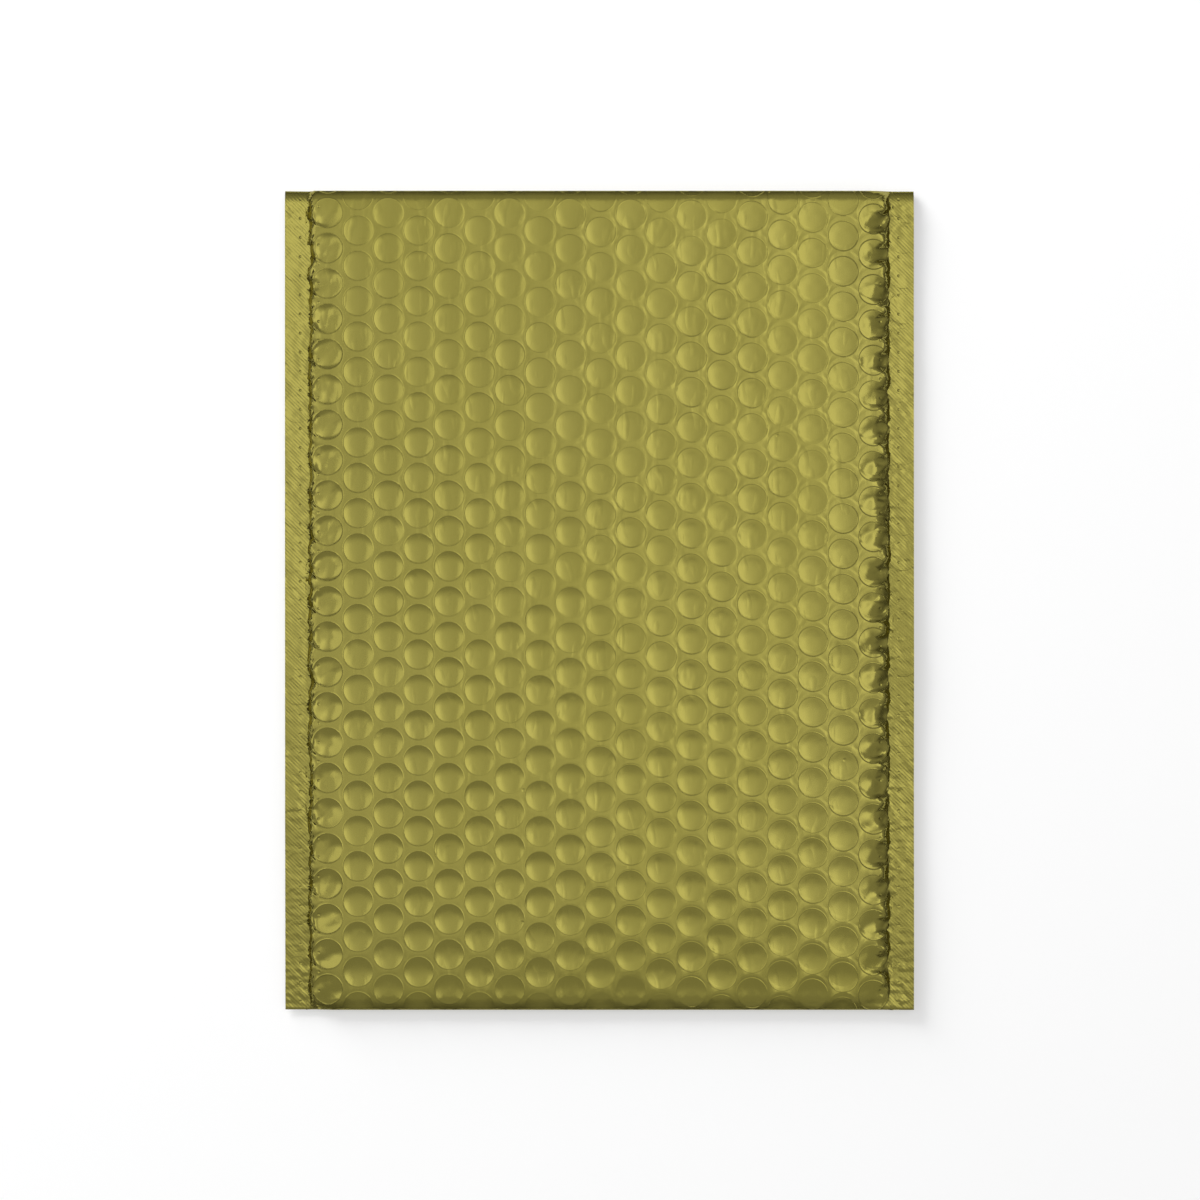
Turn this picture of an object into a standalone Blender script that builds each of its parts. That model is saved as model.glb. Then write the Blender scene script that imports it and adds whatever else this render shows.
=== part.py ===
"""Padded envelope: a metallic film bag with a bubble film lining.

Metres, +Z up. The envelope lies on its back with the flap folded under it.
X runs across the width and Y along the length, and the mouth is at +Y.
The front film runs on over the mouth as the closing flap, which lies under the back.
The origin is the centre of the footprint, on the surface that the envelope rests on.
"""

import math

import bmesh
import bpy
from mathutils.geometry import delaunay_2d_cdt

MM = 0.001

# Outline of the closed envelope, flap folded under
WIDTH = 215.0 * MM
LENGTH = 280.0 * MM
SEAL_WIDTH = 9.2 * MM
SEAL_THICKNESS = 0.6 * MM

# Layers of the pouch, from the outside in
FILM_WALL = 0.9 * MM
LINING_THICKNESS = 2.1 * MM
CLEARANCE = 0.3 * MM
POCKET_GAP = 0.6 * MM

# Bubbles that show through the film as shallow round dishes
BUBBLE_DIAMETER = 10.4 * MM
DISH_DEPTH = 0.6 * MM
COLUMN_PITCH = 10.35 * MM
ROW_PITCH = 12.05 * MM
COLUMN_SQUEEZE = 0.5 * MM
COLUMN_SHIFT = 0.3 * MM
FIRST_ROW = 7.6 * MM
ROW_BEND = 0.0071 * MM
DISC_SIDES = 6

# How the pouch swells from its edges: (distance from the edge, share of the full height)
SIDE_SWELL = ((0.0, 0.0), (1.5 * MM, 0.6), (4.5 * MM, 1.0))
FOLD_SWELL = ((0.0, 0.0), (1.0 * MM, 0.37), (3.0 * MM, 0.62), (7.0 * MM, 0.87), (14.0 * MM, 1.0))

# Closing flap, with its adhesive strip and release liner
FLAP_LENGTH = 45.0 * MM
FLAP_THICKNESS = 0.3 * MM
FLAP_FOLD_REACH = 3.6 * MM
FLAP_FOLD_STEPS = 7
FLAP_ROOT = 0.5 * MM
FLAP_SKIN = 0.05 * MM
STRIP_GAP = 0.2 * MM
ADHESIVE_WIDTH = 14.0 * MM
ADHESIVE_THICKNESS = 0.15 * MM
ADHESIVE_EDGE = 7.0 * MM
LINER_WIDTH = 22.0 * MM
LINER_THICKNESS = 0.15 * MM
LINER_END_GAP = 6.0 * MM
HOLLOW_RUN = 5.0 * MM

# Inset outlines of the pouch's hollows and of the lining
LENS_EDGE = 0.9 * MM
POCKET_EDGE_HALF = 0.45 * MM
LINING_EDGE_HALF = 0.15 * MM
SLOT_MARGIN = 3.0 * MM
LINING_MOUTH_INSET = 1.0 * MM
CUTTER_OVERRUN = 3.0 * MM
EDGE_POINT_PITCH = 16.0 * MM

SEAL_HALF = SEAL_THICKNESS / 2
FULL_HALF = FILM_WALL + CLEARANCE + LINING_THICKNESS + POCKET_GAP / 2
MIDDLE = FULL_HALF
FLAP_STACK = FLAP_THICKNESS + ADHESIVE_THICKNESS + LINER_THICKNESS + 3 * STRIP_GAP
SEAL_LINE = WIDTH / 2 - SEAL_WIDTH
MOUTH = LENGTH / 2 - FLAP_FOLD_REACH
BOTTOM = -LENGTH / 2
FLAP_EDGE = LENGTH / 2 - FLAP_LENGTH
DISC_RADIUS = BUBBLE_DIAMETER / 2
COLUMNS = int((2 * SEAL_LINE + COLUMN_SQUEEZE) / COLUMN_PITCH)


def clear_scene():
    for obj in list(bpy.data.objects):
        bpy.data.objects.remove(obj)


def make_collection(name):
    collection = bpy.data.collections.new(name)
    bpy.context.scene.collection.children.link(collection)
    return collection


def make_material(name, colour, roughness, metallic):
    material = bpy.data.materials.new(name)
    material.use_nodes = True
    shader = material.node_tree.nodes["Principled BSDF"]
    shader.inputs["Base Color"].default_value = (*colour, 1.0)
    shader.inputs["Roughness"].default_value = roughness
    shader.inputs["Metallic"].default_value = metallic
    return material


def add_object(name, bm, collection, material=None):
    """Turns a bmesh into an object of the collection."""
    bmesh.ops.recalc_face_normals(bm, faces=bm.faces)
    mesh = bpy.data.meshes.new(name)
    bm.to_mesh(mesh)
    bm.free()
    obj = bpy.data.objects.new(name, mesh)
    collection.objects.link(obj)
    if material:
        mesh.materials.append(material)
    return obj


def share_at(distance, swell):
    """Height share at a distance from an edge, along the straight runs of a swell."""
    if distance <= swell[0][0]:
        return swell[0][1]
    for (near, low), (far, high) in zip(swell, swell[1:]):
        if distance <= far:
            return low + (high - low) * (distance - near) / (far - near)
    return swell[-1][1]


def pouch_half(x, y, depth):
    """Half thickness of the pouch at a depth under its outer face, before any edge limit."""
    share = share_at(SEAL_LINE - abs(x) - depth, SIDE_SWELL)
    share *= share_at(y - BOTTOM - depth, FOLD_SWELL)
    return SEAL_HALF + (FULL_HALF - SEAL_HALF) * share - depth


def front_z(x, y, depth=0.0, least=SEAL_HALF):
    """Height of the front wall's face at a depth under the outer face."""
    return MIDDLE + max(least, pouch_half(x, y, depth))


def flap_hollow(x, y):
    """How far the back is pressed in, to make room for the folded flap and its strips."""
    across = share_at(SEAL_LINE - abs(x), SIDE_SWELL)
    along = (y - (FLAP_EDGE - HOLLOW_RUN)) / HOLLOW_RUN
    return FLAP_STACK * across * min(1.0, max(0.0, along))


def back_z(x, y, depth=0.0, least=SEAL_HALF):
    """Height of the back wall's face at a depth above the outer face."""
    half = pouch_half(x, y, depth) - flap_hollow(x, y)
    return MIDDLE - max(least, half)


def bubble_centres():
    """Bubble centres on the one web of film: (x, distance down the web from the top fold)."""
    web_length = 2 * LENGTH
    for column in range(COLUMNS):
        x = (column - (COLUMNS - 1) / 2) * COLUMN_PITCH + COLUMN_SHIFT
        start = FIRST_ROW - (column % 2) * ROW_PITCH / 2 + column * column * ROW_BEND
        for row in range(math.ceil(web_length / ROW_PITCH)):
            yield x, start + row * ROW_PITCH


def front_bubbles():
    """Centres on the front panel."""
    for x, down in bubble_centres():
        y = LENGTH / 2 - down
        if BOTTOM + DISC_RADIUS / 2 < y < MOUTH - DISC_RADIUS / 2:
            yield x, y


def back_bubbles():
    """Centres on the back panel, where the web runs on round the bottom fold, clear of the flap."""
    for x, down in bubble_centres():
        y = BOTTOM + down - LENGTH
        if BOTTOM + DISC_RADIUS / 2 < y < FLAP_EDGE - HOLLOW_RUN - DISC_RADIUS:
            yield x, y


def disc_ring(x, y):
    """Corners of one bubble's outline, its flats facing the neighbouring bubbles."""
    for side in range(DISC_SIDES):
        angle = 2 * math.pi * side / DISC_SIDES
        yield x + DISC_RADIUS * math.cos(angle), y + DISC_RADIUS * math.sin(angle)


def mirrored(values):
    """The values on both sides of zero, in order."""
    return sorted({sign * value for value in values for sign in (-1, 1)})


def outline_points():
    """The body's outline, anticlockwise, with a point wherever its section changes."""
    across = mirrored([WIDTH / 2] + [SEAL_LINE - near for near, _ in SIDE_SWELL])
    points = [(x, BOTTOM) for x in across]
    points += [(x, MOUTH) for x in reversed(across)]
    return points


def fold_line_points():
    """Points along the lines where the pouch starts and stops swelling from the bottom fold."""
    columns = int(2 * SEAL_LINE / EDGE_POINT_PITCH)
    for column in range(columns + 1):
        x = (column - columns / 2) * EDGE_POINT_PITCH
        for distance, _ in FOLD_SWELL[1:]:
            yield x, BOTTOM + distance


def seal_crease_lines():
    """The two lines along which the pouch starts to swell out of its side seals."""
    for x in mirrored([SEAL_LINE]):
        yield (x, BOTTOM), (x, MOUTH)


def hollow_crease_lines():
    """The edges of the hollow that takes the folded flap."""
    across = mirrored([SEAL_LINE - near for near, _ in SIDE_SWELL])
    for y in (FLAP_EDGE - HOLLOW_RUN, FLAP_EDGE):
        for left, right in zip(across, across[1:]):
            yield (left, y), (right, y)
    for x in across:
        yield (x, FLAP_EDGE - HOLLOW_RUN), (x, FLAP_EDGE)
        yield (x, FLAP_EDGE), (x, MOUTH)


def relief_sheet(bm, bubbles, free_points, crease_lines, height, dish):
    """Adds one face of the body: the outline filled round every bubble, then lifted to its height.

    The crease lines stay edges of the face. dish is the depth by which a bubble's centre lies
    under the face, negative where down is up.
    """
    bubbles = list(bubbles)
    clear = DISC_RADIUS * 1.05
    outline = outline_points()
    points = list(outline)
    for x, y in free_points:
        if all(math.hypot(x - bx, y - by) > clear for bx, by in bubbles):
            points.append((x, y))
    edges = []
    for start, end in crease_lines:
        edges.append((len(points), len(points) + 1))
        points += [start, end]
    centres = set()
    for bx, by in bubbles:
        ring = [p for p in disc_ring(bx, by) if BOTTOM < p[1] < MOUTH]
        first = len(points)
        points += ring
        whole = len(ring) == DISC_SIDES
        edges += [(first + i, first + (i + 1) % len(ring)) for i in range(len(ring) - (not whole))]
        centres.add(len(points))
        points.append((bx, by))
    flat, _, faces, origins, _, _ = delaunay_2d_cdt(
        points, edges, [list(range(len(outline)))], 1, 1e-7
    )
    verts = []
    for place, made_from in zip(flat, origins):
        z = height(place.x, place.y)
        if centres & set(made_from):
            z -= dish
        verts.append(bm.verts.new((place.x, place.y, z)))
    for face in faces:
        bm.faces.new([verts[i] for i in face])
    return verts


def make_body(collection, material):
    """The film bag before it is hollowed: front and back faces, closed by a wall along the outline."""
    bm = bmesh.new()
    seal_lines = list(seal_crease_lines())
    relief_sheet(bm, front_bubbles(), fold_line_points(), seal_lines, front_z, DISH_DEPTH)
    rim = [edge for edge in bm.edges if edge.is_boundary]
    grown = bmesh.ops.extrude_edge_only(bm, edges=rim)["geom"]
    for vert in grown:
        if isinstance(vert, bmesh.types.BMVert):
            vert.co.z = back_z(vert.co.x, vert.co.y)
    back_lines = seal_lines + list(hollow_crease_lines())
    relief_sheet(bm, back_bubbles(), fold_line_points(), back_lines, back_z, -DISH_DEPTH)
    bmesh.ops.remove_doubles(bm, verts=bm.verts, dist=1e-6)
    return add_object("outer_film", bm, collection, material)


def make_lens(name, across, along, top, bottom, collection, material=None):
    """A closed pillow on a grid of stations, between a top and a bottom height."""
    bm = bmesh.new()
    bmesh.ops.create_grid(
        bm, x_segments=len(across) - 1, y_segments=len(along) - 1, size=0.5
    )
    under = {}
    for vert in bm.verts:
        x = across[round((vert.co.x + 0.5) * (len(across) - 1))]
        y = along[round((vert.co.y + 0.5) * (len(along) - 1))]
        vert.co = (x, y, bottom(x, y))
        under[vert] = (x, y)
    lifted = bmesh.ops.extrude_face_region(bm, geom=bm.faces[:])["geom"]
    for vert in lifted:
        if isinstance(vert, bmesh.types.BMVert):
            vert.co.z = top(vert.co.x, vert.co.y)
    return add_object(name, bm, collection, material)


def lens_stations(depth, mouth):
    """Grid stations of a pillow that lies at a depth inside the pouch and ends at the mouth."""
    side = SEAL_LINE - depth - LENS_EDGE
    turns = [SEAL_LINE - depth - near for near, _ in SIDE_SWELL if near > LENS_EDGE]
    across = mirrored([side] + turns) + [0.0]
    along = [BOTTOM + depth + LENS_EDGE]
    along += [BOTTOM + depth + near for near, _ in FOLD_SWELL if near > LENS_EDGE]
    along += [FLAP_EDGE - HOLLOW_RUN, FLAP_EDGE, mouth]
    return sorted(across), along


def cut(obj, cutter, name, operation="DIFFERENCE"):
    modifier = obj.modifiers.new(name, "BOOLEAN")
    modifier.operation = operation
    modifier.object = cutter


def hide_helper(obj):
    obj.hide_render = True
    obj.display_type = "WIRE"


def make_pocket_cutter(collection):
    """The hollow of the film bag, which runs out through the mouth."""
    across, along = lens_stations(FILM_WALL, MOUTH + CUTTER_OVERRUN)
    cutter = make_lens(
        "film_hollow",
        across,
        along,
        lambda x, y: front_z(x, y, FILM_WALL, POCKET_EDGE_HALF),
        lambda x, y: back_z(x, y, FILM_WALL, POCKET_EDGE_HALF),
        collection,
    )
    hide_helper(cutter)
    return cutter


def make_flap(collection):
    """The tail of the front film: out of the front wall, over the mouth and flat under the back."""
    path = [MOUTH - FLAP_ROOT, MOUTH]
    across = mirrored([WIDTH / 2] + [SEAL_LINE - near for near, _ in SIDE_SWELL])
    steps = FLAP_FOLD_STEPS
    bm = bmesh.new()
    rows = len(path) + steps
    bmesh.ops.create_grid(bm, x_segments=len(across) - 1, y_segments=rows, size=0.5)
    # An odd number of steps puts a flat at the fold's outermost line, which sets its true reach
    bulge = (FLAP_FOLD_REACH - FLAP_THICKNESS / 2) / math.cos(math.pi / (2 * steps))
    for vert in bm.verts:
        x = across[round((vert.co.x + 0.5) * (len(across) - 1))]
        row = round((vert.co.y + 0.5) * rows)
        wall = front_z(x, MOUTH) - FLAP_SKIN - FLAP_THICKNESS / 2
        drop = wall - FLAP_THICKNESS / 2
        if row < len(path):
            y, z = path[row], wall
        elif row == rows:
            y, z = FLAP_EDGE, wall - drop
        else:
            angle = math.pi * (row - len(path) + 1) / steps
            y = MOUTH + bulge * math.sin(angle)
            z = wall - drop * (1 - math.cos(angle)) / 2
        vert.co = (x, y, z)
    flap = add_object("flap_tail", bm, collection)
    solidify = flap.modifiers.new("film", "SOLIDIFY")
    solidify.thickness = FLAP_THICKNESS
    solidify.offset = 0.0
    solidify.use_even_offset = True
    hide_helper(flap)
    return flap


def make_lining(collection, cutters, material):
    """The bubble film bag inside the film bag, open at the mouth."""
    depth = FILM_WALL + CLEARANCE
    across, along = lens_stations(depth, MOUTH - LINING_MOUTH_INSET)
    lining = make_lens(
        "bubble_lining",
        across,
        along,
        lambda x, y: front_z(x, y, depth, LINING_EDGE_HALF),
        lambda x, y: back_z(x, y, depth, LINING_EDGE_HALF),
        collection,
        material,
    )
    side = SEAL_LINE - depth - LENS_EDGE - SLOT_MARGIN
    low = BOTTOM + depth + LENS_EDGE + SLOT_MARGIN
    high = MOUTH + CUTTER_OVERRUN
    slot = make_lens(
        "pocket_slot",
        [-side, side],
        [low, high],
        lambda x, y: MIDDLE + POCKET_GAP / 2,
        lambda x, y: MIDDLE - POCKET_GAP / 2,
        cutters,
    )
    hide_helper(slot)
    cut(lining, slot, "pocket")
    return lining


def make_strip(name, width, thickness, edge, z, collection, material):
    """A flat strip across the flap: its lower edge from the flap's free edge, its underside at z."""
    length = 2 * (SEAL_LINE - SIDE_SWELL[-1][0]) - 2 * LINER_END_GAP
    bpy.ops.mesh.primitive_cube_add(
        size=1.0, location=(0.0, FLAP_EDGE + edge + width / 2, z + thickness / 2)
    )
    strip = bpy.context.active_object
    strip.name = name
    strip.data.name = name
    strip.scale = (length, width, thickness)
    bpy.context.view_layer.update()
    strip.data.transform(strip.matrix_world)
    strip.matrix_world.identity()
    for owner in list(strip.users_collection):
        owner.objects.unlink(strip)
    collection.objects.link(strip)
    strip.data.materials.append(material)
    return strip


def main():
    clear_scene()
    envelope = make_collection("padded_envelope")
    cutters = make_collection("cutters")
    film = make_material("olive_metallic_film", (0.36, 0.32, 0.08), 0.38, 1.0)
    bubble_film = make_material("clear_bubble_film", (0.86, 0.88, 0.88), 0.3, 0.0)
    adhesive = make_material("adhesive", (0.85, 0.82, 0.70), 0.25, 0.0)
    liner = make_material("release_film", (0.92, 0.92, 0.90), 0.35, 0.0)

    body = make_body(envelope, film)
    cut(body, make_pocket_cutter(cutters), "hollow")
    cut(body, make_flap(cutters), "flap", "UNION")
    make_lining(envelope, cutters, bubble_film)

    adhesive_z = FLAP_THICKNESS + STRIP_GAP
    liner_z = adhesive_z + ADHESIVE_THICKNESS + STRIP_GAP
    liner_edge = ADHESIVE_EDGE - (LINER_WIDTH - ADHESIVE_WIDTH) / 2
    make_strip(
        "adhesive_strip", ADHESIVE_WIDTH, ADHESIVE_THICKNESS, ADHESIVE_EDGE, adhesive_z, envelope, adhesive
    )
    make_strip("release_liner", LINER_WIDTH, LINER_THICKNESS, liner_edge, liner_z, envelope, liner)


main()
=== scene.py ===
"""Padded envelope in olive metallic film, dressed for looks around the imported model.

Metres, +Z up. The envelope lies on its back with the mouth towards +Y, and the front film runs
over the mouth and on under the back as the closing flap.
"""

import logging
import math
from collections.abc import Callable
from dataclasses import dataclass, field
from enum import Enum

import bmesh
import bpy
import numpy as np
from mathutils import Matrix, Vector


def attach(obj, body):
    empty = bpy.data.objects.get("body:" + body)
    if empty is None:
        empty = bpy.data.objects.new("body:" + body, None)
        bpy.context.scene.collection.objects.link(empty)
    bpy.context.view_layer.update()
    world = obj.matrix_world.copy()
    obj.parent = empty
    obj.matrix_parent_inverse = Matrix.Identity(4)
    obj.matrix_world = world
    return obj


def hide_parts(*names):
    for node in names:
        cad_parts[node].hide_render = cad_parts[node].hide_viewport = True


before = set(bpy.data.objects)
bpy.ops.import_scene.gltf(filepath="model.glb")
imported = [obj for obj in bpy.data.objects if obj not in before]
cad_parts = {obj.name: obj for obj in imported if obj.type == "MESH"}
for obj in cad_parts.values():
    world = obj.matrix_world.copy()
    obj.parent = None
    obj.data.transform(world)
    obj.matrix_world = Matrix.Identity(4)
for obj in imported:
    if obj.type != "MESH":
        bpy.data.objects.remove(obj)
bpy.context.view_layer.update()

LOG = logging.getLogger("padded_envelope")
MM = 0.001
TOUCH = 0.02 * MM
WEB_MAP = "web"


class Slot(Enum):
    """Material slots that the record names."""

    FILM = "olive_metallic_film"
    LINING = "clear_bubble_film"
    ADHESIVE = "adhesive"
    LINER = "release_film"


def smooth_step(low: float, high: float, values: np.ndarray) -> np.ndarray:
    """A soft ramp from 0 at low to 1 at high.

    Args:
        low: Where the ramp starts.
        high: Where it ends, which may be below low for a falling ramp.
        values: The places to read it at.

    Returns:
        The ramp's value at each place.
    """
    share = np.clip((values - low) / (high - low), 0.0, 1.0)
    return share * share * (3.0 - 2.0 * share)


@dataclass(frozen=True)
class ValueNoise:
    """Repeatable soft noise between -1 and 1, the same on every run."""

    seed: int

    def corner(self, i: np.ndarray, j: np.ndarray) -> np.ndarray:
        """The random value that belongs to a pair of whole numbers.

        Args:
            i: First whole numbers.
            j: Second whole numbers.

        Returns:
            Values between -1 and 1.
        """
        mask = np.int64(0xFFFFFFFF)
        mixed = (i.astype(np.int64) * 374761393 + j.astype(np.int64) * 668265263) & mask
        mixed = (mixed + self.seed * 1442695 + 12345) & mask
        mixed = ((mixed ^ (mixed >> 13)) * 1274126177) & mask
        mixed = ((mixed ^ (mixed >> 15)) * 461845907) & mask
        mixed = mixed ^ (mixed >> 16)
        return mixed / float(2**31) - 1.0

    def at(self, u: np.ndarray, v: np.ndarray) -> np.ndarray:
        """Noise over a plane, with features about one unit across.

        Args:
            u: First coordinates.
            v: Second coordinates.

        Returns:
            The noise at each point.
        """
        i, j = np.floor(u), np.floor(v)
        fu, fv = u - i, v - j
        fu = fu * fu * (3.0 - 2.0 * fu)
        fv = fv * fv * (3.0 - 2.0 * fv)
        low = self.corner(i, j) * (1.0 - fu) + self.corner(i + 1, j) * fu
        high = self.corner(i, j + 1) * (1.0 - fu) + self.corner(i + 1, j + 1) * fu
        return low * (1.0 - fv) + high * fv


@dataclass(frozen=True)
class PouchForm:
    """The envelope's overall swell, the same as the CAD model's but with round runs."""

    width: float = 215.0 * MM
    length: float = 280.0 * MM
    seal_width: float = 9.2 * MM
    seal_half: float = 0.3 * MM
    full_half: float = 3.6 * MM
    side_run: float = 1.35 * MM
    side_power: float = 2.0
    side_bulge: float = 0.9 * MM
    sag_run: float = 60.0 * MM
    sag: float = 1.5 * MM
    fold_run: float = 4.5 * MM
    seal_fold_run: float = 0.5 * MM
    left_curl: tuple[tuple[float, float], ...] = (
        (-140, 0.03), (-48, 0.045), (0, 0.095), (48, 0.11), (90, 0.13), (140, 0.165)
    )
    right_curl: tuple[tuple[float, float], ...] = (
        (-140, 0.06), (-116, 0.13), (-88, 0.06), (-62, 0.02), (-48, 0.05), (-20, 0.13),
        (-6, 0.10), (20, 0.05), (48, 0.025), (76, 0.008), (103, -0.02), (130, 0.013)
    )
    corner_droop: float = 1.9 * MM
    reach: float = 3.6 * MM
    shoulder_run: float = 3.4 * MM
    shoulder_slope: float = 10.0
    fold_slope: float = 37.0
    fold_arc: float = 2.9 * MM
    flap_length: float = 45.0 * MM
    hollow_run: float = 5.0 * MM
    hollow_depth: float = 1.2 * MM

    @property
    def seal_line(self) -> float:
        """Distance of each side seal's inner edge from the middle."""
        return self.width / 2 - self.seal_width

    @property
    def mouth(self) -> float:
        """Where the pouch ends and the flap's fold starts."""
        return self.length / 2 - self.reach

    @property
    def bottom(self) -> float:
        """The bottom fold's outermost line."""
        return -self.length / 2

    @property
    def flap_edge(self) -> float:
        """The folded flap's free edge."""
        return self.length / 2 - self.flap_length

    def half(
        self, x: np.ndarray, y: np.ndarray, back: bool = False,
        run: np.ndarray | None = None, wander: np.ndarray | float = 0.0,
    ) -> np.ndarray:
        """Half thickness of the pouch.

        Args:
            x: Places across the width.
            y: Places along the length.
            back: Whether to press in the hollow that takes the folded flap.
            run: How far the pouch takes to swell out of its seals, where that varies.
            wander: How far the line where it starts to swell has wandered outwards.

        Returns:
            The distance from the middle plane to the film's outer face.
        """
        up = np.maximum(y - self.bottom, 0.0)
        slack = self.sag * np.clip(1.0 - up / self.sag_run, 0.0, 1.0) ** 3
        crease = np.clip(1.0 - up / self.fold_run, 0.0, 1.0) ** 1.6
        middle = self.full_half - slack - (self.full_half - self.sag) * crease
        crimp = np.sqrt(1.0 - np.clip(1.0 - up / self.seal_fold_run, 0.0, 1.0) ** 2)
        edge = self.seal_half * crimp
        inside = self.seal_line + self.side_bulge + wander - np.abs(x)
        inward = np.clip(inside / (self.side_run if run is None else run), 0.0, 1.0)
        share = 1.0 - (1.0 - inward) ** self.side_power
        half = edge + np.maximum(middle - edge, 0.0) * share
        if back:
            along = smooth_step(self.flap_edge - self.hollow_run, self.flap_edge, y)
            half = np.maximum(half - self.hollow_depth * share * along, edge)
        return half

    def shoulder(self, y: np.ndarray) -> np.ndarray:
        """How far the front has bent down where it comes up to the fold at the mouth."""
        near = np.clip((y - (self.mouth - self.shoulder_run)) / self.shoulder_run, 0.0, 1.0)
        return 0.5 * self.shoulder_run * math.tan(math.radians(self.shoulder_slope)) * near**2

    def curl(self, x: np.ndarray, y: np.ndarray) -> np.ndarray:
        """How far the seals have curled up past their inner edges, and a corner has drooped.

        Args:
            x: Places across the width.
            y: Places along the length.

        Returns:
            The lift.
        """
        left, right = (
            np.interp(y / MM, *zip(*table)) for table in (self.left_curl, self.right_curl)
        )
        rise = np.where(x < 0.0, left, right) * np.maximum(np.abs(x) - self.seal_line, 0.0)
        droop = self.corner_droop * np.clip(1.0 - (y - self.bottom) / (68.0 * MM), 0.0, 1.0)
        return rise - droop * smooth_step(8.0 * MM - self.seal_line, -self.seal_line, x)

    def over_fold(self, arc: np.ndarray, top: np.ndarray) -> tuple[np.ndarray, ...]:
        """Follows the film over the mouth and round under the back.

        Args:
            arc: Distances along the film from the mouth.
            top: Height of the film at the mouth.

        Returns:
            How far out past the mouth each point lies, its height, and the film's slope there.
        """
        out, drop, tilt, length = self.fold_curve()
        under = np.linspace(0.0, math.pi / 2, 10)[1:]
        slope, full = tilt[-1], drop[-1]
        marks = np.concatenate([length, length[-1] + self.under_length() * under / (math.pi / 2)])
        y = np.interp(arc, marks, [*out, *(self.reach * np.cos(under))])
        down = np.interp(arc, marks, [*drop, *(full + 0.0 * under)])
        share = np.interp(arc, marks, [*(0.0 * length), *np.sin(under)])
        z = (top - down) * (1.0 - share)
        angle = np.interp(arc, marks, [*tilt, *(slope + (math.pi - slope) * under / (math.pi / 2))])
        flat = np.maximum(arc - marks[-1], 0.0)
        return y - flat, z, angle

    def fold_curve(self) -> tuple[np.ndarray, ...]:
        """The film's bend from the mouth to the fold's outermost line, ever steeper.

        Returns:
            Points along it: how far out, how far down, the slope and the length so far.
        """
        low = math.sin(math.radians(self.shoulder_slope))
        high = math.sin(math.radians(self.fold_slope))
        share = np.linspace(0.0, 1.0, 14)
        tilt = np.append(np.arcsin(low + (high - low) * share**1.6), math.radians(self.fold_slope))
        out = np.append(self.fold_arc * share, self.reach)
        steps = np.diff(out)
        fall = steps * np.tan((tilt[1:] + tilt[:-1]) / 2)
        drop = np.concatenate([[0.0], np.cumsum(fall)])
        return out, drop, tilt, np.concatenate([[0.0], np.cumsum(np.hypot(steps, fall))])

    def over_length(self) -> float:
        """Length of film from the mouth to the fold's outermost line."""
        return float(self.fold_curve()[3][-1])

    def under_length(self) -> float:
        """Length of film from the fold's outermost line to where it lies flat under the back."""
        return 1.5 * self.reach


@dataclass(frozen=True)
class Lattice:
    """Where the bubbles lie. Its second coordinate runs up the front, as the model's Y does."""

    radius: float = 5.2 * MM
    column_pitch: float = 10.35 * MM
    row_pitch: float = 12.05 * MM
    columns: int = 19
    first_x: float = -92.80 * MM
    first_y: float = 132.34 * MM
    lean: float = 0.01 * MM
    bend: float = -0.0071 * MM

    def bend_at(self, x: np.ndarray) -> np.ndarray:
        """How far a row has wandered along the length at a place across the width."""
        column = (x - self.first_x) / self.column_pitch
        return self.lean * column + self.bend * column * column

    def nearest(self, x: np.ndarray, y: np.ndarray) -> tuple[np.ndarray, ...]:
        """Finds the bubble whose centre is nearest to each point.

        Args:
            x: Places across the width.
            y: Places along the unbent web.

        Returns:
            The bubble's column and row, and the point's place from its centre.
        """
        best: tuple[np.ndarray, ...] = ()
        least = np.full(x.shape, np.inf)
        guess = np.round((x - self.first_x) / self.column_pitch)
        for side in (-1, 0, 1):
            column = guess + side
            start = self.first_y + (column % 2) * self.row_pitch / 2
            row = np.round((start - y) / self.row_pitch)
            dx = x - (self.first_x + column * self.column_pitch)
            dy = y - (start - row * self.row_pitch)
            apart = dx * dx + dy * dy
            if not best:
                best = (column, row, dx, dy)
            else:
                nearer = apart < least
                best = tuple(
                    np.where(nearer, new, old) for new, old in zip((column, row, dx, dy), best)
                )
            least = np.minimum(least, apart)
        return best


def start_fresh() -> None:
    """Leaves edit mode and deselects everything, so that an operator acts on nothing by chance."""
    if bpy.context.object and bpy.context.object.mode != "OBJECT":
        bpy.ops.object.mode_set(mode="OBJECT")
    bpy.ops.object.select_all(action="DESELECT")


def make_active(obj: bpy.types.Object) -> None:
    """Selects one object alone."""
    start_fresh()
    obj.select_set(True)
    bpy.context.view_layer.objects.active = obj


def apply_modifier(obj: bpy.types.Object, kind: str, name: str, **settings: object) -> None:
    """Adds a modifier and applies it at once.

    Args:
        obj: The object to change.
        kind: The modifier's type.
        name: A name for it.
        **settings: Its settings by name.
    """
    make_active(obj)
    modifier = obj.modifiers.new(name, kind)
    for key, value in settings.items():
        setattr(modifier, key, value)
    bpy.ops.object.modifier_apply(modifier=modifier.name)


def read_points(obj: bpy.types.Object) -> np.ndarray:
    """The object's vertices as an array of rows."""
    flat = np.empty(len(obj.data.vertices) * 3)
    obj.data.vertices.foreach_get("co", flat)
    return flat.reshape(-1, 3)


def write_points(obj: bpy.types.Object, points: np.ndarray) -> None:
    """Moves the object's vertices to an array of rows."""
    obj.data.vertices.foreach_set("co", points.reshape(-1))
    obj.data.update()


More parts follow.
